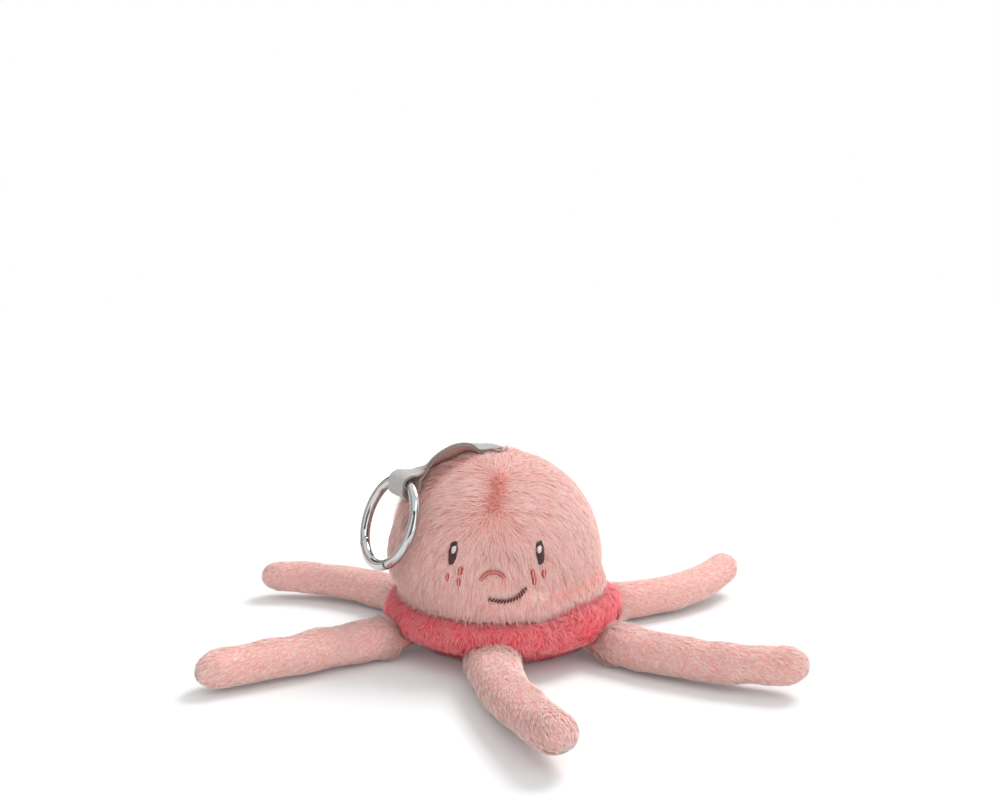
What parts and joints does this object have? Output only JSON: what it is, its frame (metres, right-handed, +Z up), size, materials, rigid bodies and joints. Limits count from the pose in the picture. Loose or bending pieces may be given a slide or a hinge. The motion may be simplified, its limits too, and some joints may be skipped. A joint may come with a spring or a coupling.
{
  "type": "plush bag charm",
  "caption": "Stuffed plush jellyfish charm with a domed body, a band, soft arms and a spring gate ring on a tape strap.",
  "frame": {"origin": "centre of the flat foot of the base panel, on the surface that the charm rests on", "axes": "+Z up through the dome, -Y the way the face looks, +X to the viewer's right of the face"},
  "size_m": [0.2073, 0.2325, 0.0785],
  "materials": {
    "dome_pile": "soft pink plush pile",
    "coral_pile": "coral plush pile",
    "arm_pile": "short pale pink plush pile",
    "fibre_filling": "loose polyester fibre",
    "dark_thread": "satin embroidery thread",
    "pale_thread": "satin embroidery thread",
    "red_thread": "satin embroidery thread",
    "ribbed_tape": "fine ribbed woven tape",
    "chrome": "bright nickel plating",
    "steel": "plain spring steel"
  },
  "bodies": {
    "body": {"dome_cover": "dome_pile", "band_cover": "coral_pile", "base_panel": "coral_pile", "body_stuffing": "fibre_filling", "eye_left": "dark_thread", "eye_glint_left": "pale_thread", "eye_right": "dark_thread", "eye_glint_right": "pale_thread", "cheek_stitch_1": "red_thread", "cheek_stitch_2": "red_thread", "cheek_stitch_3": "red_thread", "cheek_stitch_4": "red_thread", "cheek_stitch_5": "red_thread", "cheek_stitch_6": "red_thread", "nose_stitch": "red_thread", "mouth_stitch": "dark_thread"},
    "arm_1": {"arm_cover_1": "arm_pile", "arm_stuffing_1": "fibre_filling"},
    "arm_2": {"arm_cover_2": "arm_pile", "arm_stuffing_2": "fibre_filling"},
    "arm_3": {"arm_cover_3": "arm_pile", "arm_stuffing_3": "fibre_filling"},
    "arm_4": {"arm_cover_4": "arm_pile", "arm_stuffing_4": "fibre_filling"},
    "arm_5": {"arm_cover_5": "arm_pile", "arm_stuffing_5": "fibre_filling"},
    "arm_6": {"arm_cover_6": "arm_pile", "arm_stuffing_6": "fibre_filling"},
    "strap": {"strap_tape": "ribbed_tape"},
    "ring": {"ring_body": "chrome", "gate_pin": "steel", "gate_spring": "steel"},
    "gate": {"ring_gate": "chrome"}
  },
  "joints": [
    {"name": "arm_1_swing", "type": "hinge", "parent": "body", "child": "arm_1", "pos_m": [-0.00359, -0.04099, 0.006], "axis": [0.9962, -0.0872, 0], "range_deg": [-18, 85]},
    {"name": "arm_2_swing", "type": "hinge", "parent": "body", "child": "arm_2", "pos_m": [0.03451, -0.02241, 0.006], "axis": [0.5446, 0.8387, 0], "range_deg": [-18, 85]},
    {"name": "arm_3_swing", "type": "hinge", "parent": "body", "child": "arm_3", "pos_m": [0.03788, 0.01608, 0.006], "axis": [-0.3907, 0.9205, 0], "range_deg": [-18, 85]},
    {"name": "arm_4_swing", "type": "hinge", "parent": "body", "child": "arm_4", "pos_m": [0, 0.04115, 0.006], "axis": [-1, 0, 0], "range_deg": [-18, 85]},
    {"name": "arm_5_swing", "type": "hinge", "parent": "body", "child": "arm_5", "pos_m": [-0.0349, 0.02181, 0.006], "axis": [-0.5299, -0.848, 0], "range_deg": [-18, 85]},
    {"name": "arm_6_swing", "type": "hinge", "parent": "body", "child": "arm_6", "pos_m": [-0.0373, -0.01739, 0.006], "axis": [0.4226, -0.9063, 0], "range_deg": [-18, 85]},
    {"name": "strap_swing", "type": "hinge", "parent": "body", "child": "strap", "pos_m": [-0.00242, 0.00161, 0.07481], "axis": [-0.4123, 0.9107, -0.0263], "range_deg": [-2, 115], "deforming": ["strap_tape"]},
    {"name": "ring_swing", "type": "hinge", "parent": "strap", "child": "ring", "pos_m": [-0.03641, -0.01609, 0.06519], "axis": [-0.5397, 0.8362, 0.0976], "range_deg": [-5, 120], "deforming": ["strap_tape"]},
    {"name": "gate_open", "type": "hinge", "parent": "ring", "child": "gate", "pos_m": [-0.04121, -0.02784, 0.03741], "axis": [0.7647, 0.5355, -0.3584], "range_deg": [0, 50], "stiffness_Nm_per_rad": 0.002, "springref_deg": -11.46, "deforming": ["gate_spring"]}
  ]
}
